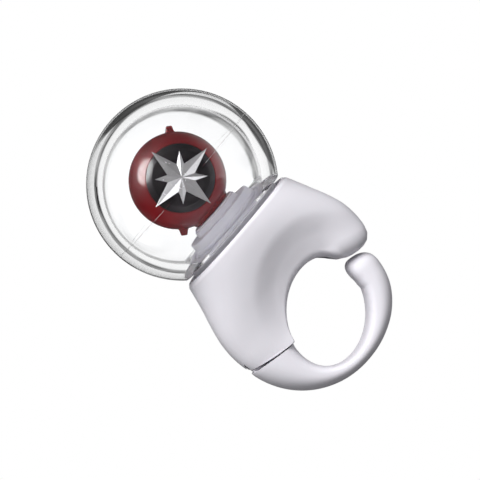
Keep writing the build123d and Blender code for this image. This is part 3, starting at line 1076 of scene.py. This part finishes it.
        top, bore, (bevel, half_bevel) = self.rim_z, self.rim_bore, self.rim_bevel
        rows = [ring(bore, self.chamber[-1][1]), ring(bore, top - bevel),
                ring(bore + half_bevel, top - half_bevel), ring(bore + bevel, top), ring(self.rim_flat, top)]
        rows += [ring(self.rim_flat + self.rim_round * sin(turn), top - self.rim_round * (1 - cos(turn)))
                 for turn in np.radians(self.rim_turns)]
        start = top - self.rim_drop
        low = zb + np.minimum(lip, self.lip_climb * (start - zb))
        rows += [self.wall(c, s, start + (low - start) * share)
                 for share in np.linspace(0.0, 1.0, self.wall_rows)]
        last = rows[-1]
        inside = np.stack([xb, np.minimum(foot[:, 1] + lip, 0.0), zb], axis=-1)
        rows += [(1 - t) ** 2 * last + 2 * t * (1 - t) * foot + t ** 2 * inside
                 for t in np.linspace(0, 1, self.lip_rows)[1:]]
        plane = np.stack([xb, np.zeros_like(xb), zb], axis=-1)
        floor_r, floor_z = self.chamber[0]
        flat = np.stack([floor_r * c, np.zeros_like(c), np.full_like(c, floor_z)], axis=-1)
        rows += [inside + (plane - inside) * 0.5, plane, plane + (flat - plane) * 0.5, flat]
        return np.stack(rows + [ring(*step) for step in self.chamber])

    def cutters(self) -> list[bpy.types.Object]:
        """Hinge slot, pin bore and the two screw holes from the rear.

        Returns:
            The closed shapes to cut away.
        """
        x, z = HINGE
        pin_r, pin_half = self.pin_bore
        slot_high = (x + self.slot_r, self.slot_half, z - self.slot_drop)
        holes = [box_cutter((-30, -self.slot_half, -5), slot_high),
                 rod_cutter(self.slot_r, -self.slot_end, self.slot_end, *HINGE),
                 rod_cutter(pin_r, -pin_half, pin_half, *HINGE)]
        (head_r, head_y), (bore_r, bore_half) = self.screw_head, self.screw_bore
        for at in self.screws:
            holes += [rod_cutter(head_r, head_y, 20.0, *at), rod_cutter(bore_r, -bore_half, bore_half, *at)]
        return holes

    def build(self, wardrobe: Wardrobe) -> None:
        """Build both halves, cut the hinge slot and the screw holes, and dress them.

        Args:
            wardrobe: where the finishes come from.
        """
        grid = self.half_grid()
        for name, node, sign in (("front_housing_shell", "front_housing", 1.0),
                                 ("rear_housing_shell", "rear_housing", -1.0)):
            piece = grid_mesh(name, grid * [1.0, sign, 1.0], wrap_rows=True, cap_columns=True)
            carve(piece, self.cutters())
            place(piece, "housing", wardrobe, Finish.housing_plastic, node)


# ---------------------------------------------------------------- arm
@dataclass
class Arm:
    """Crescent that closes round the finger, flat inside and domed outside, with a rounded free end."""

    oval_span: tuple[float, float] = (127.5, 292.0)
    inner_start: tuple[float, float] = (-10.5, 0.62)
    inner_end: tuple[tuple[float, float], ...] = ((8.85, -2.3), (9.05, -1.2))
    outer_centre: tuple[float, float] = (-2.2, 4.6)
    outer_span: tuple[float, float] = (186.0, 341.0)
    outer_start: tuple[float, float] = (-21.35, 2.9)
    outer_end: tuple[float, float] = (15.95, -0.9)
    bulge_at: tuple[float, ...] = (180.0, 221.0, 245.0, 273.0, 290.0, 308.0, 325.0, 341.0)
    bulge: tuple[float, ...] = (19.3, 19.3, 19.2, 19.15, 19.4, 19.75, 19.75, 19.15)
    width_at: tuple[float, ...] = (0.0, 0.25, 0.6, 1.0)
    half_width: tuple[float, ...] = (6.6, 5.7, 5.2, 4.7)
    inner_power: float = 3.0
    outer_power: float = 2.15
    waist: float = 0.38
    tip_shrink: float = 2.7
    tip_climb: float = 2.4
    tip_rise: float = 3.9
    tip_lean: float = 0.30
    seam_bevel: float = 0.955
    knuckle_r: float = 1.62
    knuckle_foot: tuple[tuple[float, float], ...] = ((-1.3, 1.2), (1.62, 0.6))
    knuckle_span: tuple[float, float] = (-2.4, 0.6)
    knuckle_edge: float = 0.15
    knuckle_squeeze: float = 0.93
    knuckle_middle: float = 1.2
    pin_bore: float = 1.05
    rows: int = 150
    cap_rows: int = 30
    around: int = 72

    def edges(self) -> tuple[Array, Array]:
        """Edges of the crescent: the finger oval inside, outside a circle whose radius follows the bulge.

        Returns:
            Inner and outer edge in x and z, from the seam to the tip, at matching points.
        """
        inner = FingerOval().point(np.linspace(*self.oval_span, 80))
        inner = inner[inner[:, 1] < self.inner_start[1]]
        inner = np.concatenate([[self.inner_start], inner, self.inner_end])
        turn = np.radians(np.linspace(*self.outer_span, 100))
        reach = hermite(np.degrees(turn), self.bulge_at, self.bulge)
        outer = np.stack([self.outer_centre[0] + reach * np.cos(turn),
                          self.outer_centre[1] + reach * np.sin(turn)], 1)
        outer = np.concatenate([[self.outer_start], outer[1:], [self.outer_end]])
        return by_length(inner, self.rows), by_length(outer, self.rows)

    def grid(self) -> Array:
        """Sections along the crescent, each an oval that is flatter inside than outside, then a blunt end
        whose width, depth and rise follow a squared quarter oval and whose top leans down to the outside.

        Returns:
            Points, sections by points by 3.
        """
        inner, outer = self.edges()
        wide = hermite(np.linspace(0.0, 1.0, self.rows), self.width_at, self.half_width)
        turn = np.radians(np.linspace(0, 90, self.cap_rows))[1:, None]
        shrink, climb = np.cos(turn) ** (2 / self.tip_shrink), np.sin(turn) ** (2 / self.tip_climb)
        middle, half = (inner[-1] + outer[-1]) / 2, (outer[-1] - inner[-1]) / 2
        inner = np.concatenate([inner, middle - half * shrink])
        outer = np.concatenate([outer, middle + half * shrink])
        wide = np.concatenate([wide, self.half_width[-1] * shrink[:, 0]])
        climb = np.concatenate([np.zeros(self.rows), climb[:, 0]])
        angle = np.linspace(0, 2 * np.pi, self.around, endpoint=False)
        c, s = np.cos(angle), np.sin(angle)
        power = np.where(s < 0, self.inner_power, self.outer_power)
        deep = np.where(s < 0, self.waist, 1 - self.waist)
        across = self.waist + np.sign(s) * np.abs(s) ** (2 / power) * deep
        y = np.sign(c) * np.abs(c) ** (2 / power)
        points = inner[:, None] + (outer - inner)[:, None] * across[None, :, None]
        x = points[..., 0]
        lift = climb[:, None] * (self.tip_rise - self.tip_lean * (x - middle[0]))
        grid = np.stack([x, wide[:, None] * y[None, :], points[..., 1] + lift], axis=-1)
        bevel = grid[0].mean(axis=0) + (grid[0] - grid[0].mean(axis=0)) * self.seam_bevel
        return np.concatenate([bevel[None], grid])

    def tongue(self) -> bpy.types.Object:
        """Knuckle on the hinge pin: a rounded outline in x and z carried along Y and drawn in at both faces,
        with a hole for the pin.

        Returns:
            The object.
        """
        x, z = HINGE
        foot = [(x + dx, height) for dx, height in self.knuckle_foot]
        outline = np.concatenate([arc(HINGE, self.knuckle_r, 0.0, 180.0, 25), foot])
        (near, far), edge = self.knuckle_span, self.knuckle_edge
        grid = np.stack([np.column_stack([outline[:, 0], np.full(len(outline), y), outline[:, 1]])
                         for y in (near, near + edge, far - edge, far)])
        middle = np.array([x, 0.0, z - self.knuckle_middle])
        squeeze = np.array([self.knuckle_squeeze, 1.0, 1.0, self.knuckle_squeeze])[:, None, None]
        grid = middle + (grid * [1, 0, 1] - middle) * squeeze + grid * [0, 1, 0]
        piece = grid_mesh("arm_knuckle", grid, wrap_columns=True, cap_rows=True)
        carve(piece, [rod_cutter(self.pin_bore, -5.0, 5.0, *HINGE)])
        return piece

    def build(self, wardrobe: Wardrobe) -> None:
        """Build and dress the arm.

        Args:
            wardrobe: where the finishes come from.
        """
        arm = grid_mesh("finger_arm_crescent", self.grid(), wrap_columns=True, cap_rows=True, sharp=40.0)
        place(arm, "arm", wardrobe, Finish.arm_plastic, "finger_arm")
        place(self.tongue(), "arm", wardrobe, Finish.arm_plastic)


# ---------------------------------------------------------------- mechanism
@dataclass
class Mechanism:
    """CAD nodes whose shape is right, which only need their finish."""

    finishes: tuple[tuple[str, Finish], ...] = (
        ("ball_screw", Finish.screw_steel), ("housing_screws", Finish.screw_steel),
        ("plunger", Finish.white_plastic), ("click_seat", Finish.white_plastic),
        ("return_spring", Finish.spring_steel), ("click_disc", Finish.spring_steel),
        ("arm_spring", Finish.spring_steel), ("hinge_pin", Finish.pin_steel),
        ("guide_plate", Finish.black_plastic), ("bumper_ring", Finish.black_rubber))

    def build(self, wardrobe: Wardrobe) -> None:
        """Give each node its material."""
        for node, finish in self.finishes:
            wardrobe.dress(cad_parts[node], finish)
            log.info("%s keeps its CAD shape", node)


# ---------------------------------------------------------------- studio
@dataclass
class Surroundings:
    """World of the studio, with directions given along the camera's right, up and back.

    It is plain white to the eye, soft white as a light and a dim room with one bright side in gloss. Clear
    plastic sees a white wall with a dark ring round each quarter turn, so that its edges show.
    """

    axes: tuple[Vector, Vector, Vector]
    ambient: float = 0.54
    ambient_way: tuple[float, float, float] = (0.25, 0.97, 0.0)
    ambient_lean: float = 0.42
    ring: tuple[float, float] = (24.0, 35.0)
    ring_soft: tuple[float, float] = (3.0, 4.0)
    ring_streak: tuple[float, float] = (0.45, 0.55)
    streak_size: tuple[float, float] = (40.0, 12.0)
    crescent: tuple[float, float] = (20.0, 14.0)
    crescent_peak: float = 125.0
    crescent_wave: float = 14.3
    crescent_inner: float = 3.0
    crescent_span: tuple[float, float] = (14.0, 152.0)
    crescent_fade: tuple[float, float] = (10.0, 14.0)
    crescent_streak: tuple[float, float] = (0.88, 0.12)
    crescent_dark: float = 0.95
    wall_level: tuple[float, float] = (1.20, 0.12)
    wall_turned: float = 0.8
    last_bounce: float = 5.5
    key_way: tuple[float, float, float] = (-0.72, 0.5, 0.48)
    key_glow: tuple[float, float] = (0.38, 5.0)
    low_way: tuple[float, float, float] = (0.66, -0.60, 0.42)
    low_glow: tuple[float, float, float] = (1.0, 1.4, 7.0)
    far_way: tuple[float, float, float] = (0.83, 0.19, -0.52)
    far_glow: tuple[float, float] = (1.2, 4.0)
    side_way: tuple[float, float, float] = (-0.955, 0.265, 0.131)
    side_glow: tuple[float, float] = (2.2, 8.0)
    side_spot: tuple[float, float, float] = (24.0, 0.945, 0.075)
    room_level: tuple[float, float] = (0.03, 0.018)
    inner_level: tuple[float, float, float] = (0.88, 0.7, 0.9)

    def __post_init__(self) -> None:
        """Make the world, and the signals that tell where a ray goes and how it came."""
        world = bpy.data.worlds.new("studio")
        bpy.context.scene.world = world
        world.cycles.sampling_method = "NONE"
        self.board = Board(world, "ShaderNodeOutputWorld")
        self.way = self.board.node("ShaderNodeTexCoord", output="Generated")
        self.bounced = self.path("Glossy Depth").math("MINIMUM", 1.0)
        self.soft = self.path("Diffuse Depth").math("MINIMUM", 1.0)
        self.clear = self.path("Is Transmission Ray")
        self.key = self.along(self.key_way).math("MAXIMUM", 0.0)
        self.low = self.along(self.low_way).math("MAXIMUM", 0.0)

    def path(self, output: str) -> Signal:
        """One output of the Light Path node."""
        return self.board.node("ShaderNodeLightPath", output=output)

    def along(self, direction: Sequence[float]) -> Signal:
        """How far a ray goes along a direction: the dot product of the two unit vectors.

        Args:
            direction: its parts along the camera's right, up and back.
        Returns:
            The product, from -1 to 1.
        """
        toward = sum((axis * part for axis, part in zip(self.axes, direction)), Vector()).normalized()
        return self.board.node("ShaderNodeVectorMath", {"operation": "DOT_PRODUCT"},
                               {0: self.way, 1: toward}, output="Value")

    def quarter_rings(self) -> Signal:
        """Ring round each quarter turn: where the root of turn squared plus rise squared is in its range.

        Returns:
            How dark it is, from 0 to 1.
        """
        x, y, z = (self.board.node("ShaderNodeSeparateXYZ", inputs={0: self.way}, output=axis)
                   for axis in range(3))
        turn = y.math("ARCTAN2", x) * degrees(1.0)
        rise = z.math("ARCSINE") * degrees(1.0)
        away = (turn.math("PINGPONG", 45.0).math("POWER", 2.0) + rise * rise).math("SQRT")
        return away.above(self.ring[0], self.ring_soft[0]) - away.above(self.ring[1], self.ring_soft[1])

    def mirrored_crescent(self, around: Signal, bend: Signal, streak: Signal) -> Signal:
        """Dark crescent that mirrors show: its reach from the line of sight is a middle plus a cosine wave.

        Args:
            around: direction about the line of sight, in degrees.
            bend: angle from the line of sight, in degrees.
            streak: noise that breaks it up.
        Returns:
            How dark it is, from 0 to 1.
        """
        middle, swing = self.crescent
        reach = middle + swing * ((around - self.crescent_peak) / self.crescent_wave).math("COSINE")
        shade = (reach - bend).above(0.0, 5.0) * bend.above(self.crescent_inner, 2.0)
        (start, end), (start_fade, end_fade) = self.crescent_span, self.crescent_fade
        shade = shade * around.above(start, start_fade) * (1.0 - around.above(end, end_fade))
        even, uneven = self.crescent_streak
        return shade * self.bounced * (even + uneven * streak.above(0.45, 0.2))

    def wall(self) -> Signal:
        """White wall seen through clear plastic, less its rings and crescent and, in mirrors, darker behind.

        Returns:
            Its brightness.
        """
        across, above, ahead = (self.along(axis) for axis in ((1, 0, 0), (0, 1, 0), (0, 0, -1)))
        around = above.math("ARCTAN2", across) * degrees(1.0)
        bend = ahead.math("ARCCOSINE") * degrees(1.0)
        grain = self.board.node("ShaderNodeCombineXYZ", inputs={0: around / self.streak_size[0],
                                                                1: bend / self.streak_size[1]})
        streak = self.board.node("ShaderNodeTexNoise", inputs={"Vector": grain, "Scale": 1.0, "Detail": 2.0})
        even, uneven = self.ring_streak
        dark = self.quarter_rings() * (even + uneven * streak.above(0.5, 0.3))
        dark = dark.math("MAXIMUM", self.mirrored_crescent(around, bend, streak) * self.crescent_dark)
        white, dimmer = self.wall_level
        turned_back = self.bounced * (1.0 - ahead.above(0.1, 0.4)) * self.wall_turned
        return (white - dimmer * self.bounced) * (1.0 - dark) * (1.0 - turned_back)

    def room(self) -> Signal:
        """Dim room that gloss shows: each glow is a strength times a power of the nearness to its direction.

        Returns:
            Its brightness.
        """
        (key, key_power), (far, far_power) = self.key_glow, self.far_glow
        low, low_clear, low_power = self.low_glow
        (side, side_power), (spot_level, spot_edge, spot_soft) = self.side_glow, self.side_spot
        base, base_clear = self.room_level
        room = base - base_clear * self.clear + key * self.key.math("POWER", key_power)
        room = room + (low + low_clear * self.clear) * self.low.math("POWER", low_power)
        beside = self.along(self.side_way)
        glow = spot_level * beside.above(spot_edge, spot_soft)
        glow = glow + side * beside.math("MAXIMUM", 0.0).math("POWER", side_power)
        behind = self.along(self.far_way).math("MAXIMUM", 0.0).math("POWER", far_power)
        return room + self.clear * (glow + far * behind)

    def lighting(self) -> Signal:
        """White that lights matt surfaces, stronger from above, and what clear plastic passes on to them.

        Returns:
            Its brightness.
        """
        base, key, low = self.inner_level
        inner = base + key * self.key + low * self.low
        open_air = self.ambient * (1.0 + self.ambient_lean * self.along(self.ambient_way))
        return (1.0 - self.clear) * open_air + self.clear * inner

    def build(self) -> None:
        """Choose between the parts by how a ray came, and light the world with the result."""
        through = self.clear * self.path("Ray Depth").math("LESS_THAN", self.last_bounce) * (1.0 - self.soft)
        gloss = (1.0 - through) * self.room() + through * self.wall()
        level = self.soft * self.lighting() + (1.0 - self.soft) * gloss
        seen = self.path("Is Camera Ray")
        level = seen + (1.0 - seen) * level
        self.board.finish(self.board.node("ShaderNodeBackground", inputs={"Strength": level,
                                                                          "Color": (1.0, 1.0, 1.0, 1.0)}))


@dataclass(frozen=True)
class Lamp:
    """Round soft light for matt surfaces, which no gloss and no clear plastic shows.

    It stands off the target along the camera's right, up and back; its size is a diameter in millimetres
    and its power is in watts.
    """

    name: str
    stand: tuple[float, float, float]
    size: float
    power: float


@dataclass
class Studio:
    """Camera, pale floor, surroundings and three soft lamps."""

    azimuth: float = -6.0
    elevation: float = 3.5
    roll: float = 49.0
    distance: float = 650.0
    view_width: float = 105.1
    clip: tuple[float, float] = (0.01, 20.0)
    target: tuple[float, float, float] = (-0.86, 0.0, 24.0)
    floor_half: float = 900.0
    floor_drop: float = 30.0
    floor_colour: tuple[float, float, float] = (0.13, 0.13, 0.133)
    floor_rough: float = 0.9
    lamps: tuple[Lamp, ...] = (
        Lamp("key", (-380, 420, 620), 450, 9.7), Lamp("window", (-620, 170, 60), 260, 0.6),
        Lamp("edge", (560, 60, 160), 260, 2.3))

    def axes(self) -> tuple[Vector, Vector, Vector]:
        """Directions of the camera, turned about its line of sight by the roll.

        Returns:
            Right, up and backward.
        """
        a, e, r = radians(self.azimuth), radians(self.elevation), radians(self.roll)
        back = Vector((sin(a) * cos(e), -cos(a) * cos(e), sin(e)))
        right = Vector((cos(a), sin(a), 0.0))
        up = back.cross(right)
        return right * cos(r) - up * sin(r), right * sin(r) + up * cos(r), back

    def camera(self) -> None:
        """Long lens at the object's own tilt."""
        right, up, back = self.axes()
        data = bpy.data.cameras.new("camera")
        data.lens = data.sensor_width * self.distance / self.view_width
        data.clip_start, data.clip_end = self.clip
        camera = bpy.data.objects.new("camera", data)
        turn = Matrix((right, up, back)).transposed().to_4x4()
        camera.matrix_world = Matrix.Translation((Vector(self.target) + back * self.distance) * MM) @ turn
        bpy.context.scene.collection.objects.link(camera)
        bpy.context.scene.camera = camera

    def floor(self) -> None:
        """Large floor well below the object, plain white to the eye and grey to everything else."""
        low, reach = np.array(CAD_BOX[0]) / MM, self.floor_half
        u, v = np.meshgrid(np.linspace(-reach, reach, 5), np.linspace(-reach, reach, 5))
        floor = grid_mesh("floor", np.stack([u, v, np.full_like(u, low[2] - self.floor_drop)], axis=-1))
        paint = Paint("floor_paper")
        paint.fix(Base_Color=(*self.floor_colour, 1.0), Roughness=self.floor_rough)
        seen = paint.node("ShaderNodeLightPath", output="Is Camera Ray")
        glow = paint.node("ShaderNodeEmission", inputs={"Strength": 1.0})
        paper = Signal(paint.tree, paint.shader.outputs[0])
        paint.finish(paint.node("ShaderNodeMixShader", inputs={0: seen, 1: paper, 2: glow}))
        floor.data.materials.append(paint.material)
        floor.visible_transmission = False

    def light(self, lamp: Lamp) -> None:
        """Hang one lamp and aim it at the target.

        Args:
            lamp: its name, stand, size and power.
        """
        data = bpy.data.lights.new(lamp.name, "AREA")
        data.shape, data.size, data.energy = "DISK", lamp.size * MM, lamp.power
        light = bpy.data.objects.new(lamp.name, data)
        (right, up, back), target = self.axes(), Vector(self.target)
        x, y, z = lamp.stand
        where = (target + right * x + up * y + back * z) * MM
        light.location = where
        light.rotation_euler = (where - target * MM).to_track_quat("Z", "Y").to_euler()
        light.visible_camera = light.visible_transmission = light.visible_glossy = False
        bpy.context.scene.collection.objects.link(light)

    def build(self) -> None:
        """Set up the camera, surroundings, floor and lamps."""
        bpy.context.scene.view_settings.view_transform = "Standard"
        self.camera()
        Surroundings(self.axes()).build()
        self.floor()
        for lamp in self.lamps:
            self.light(lamp)


def main() -> None:
    """Build the object and its studio, in order."""
    logging.basicConfig(level=logging.INFO, format="%(name)s: %(message)s")
    wardrobe = Wardrobe()
    Studio().build()
    Globe().build(wardrobe)
    Ball().build(wardrobe)
    Housing().build(wardrobe)
    Arm().build(wardrobe)
    Mechanism().build(wardrobe)


if __name__ == "__main__":
    main()
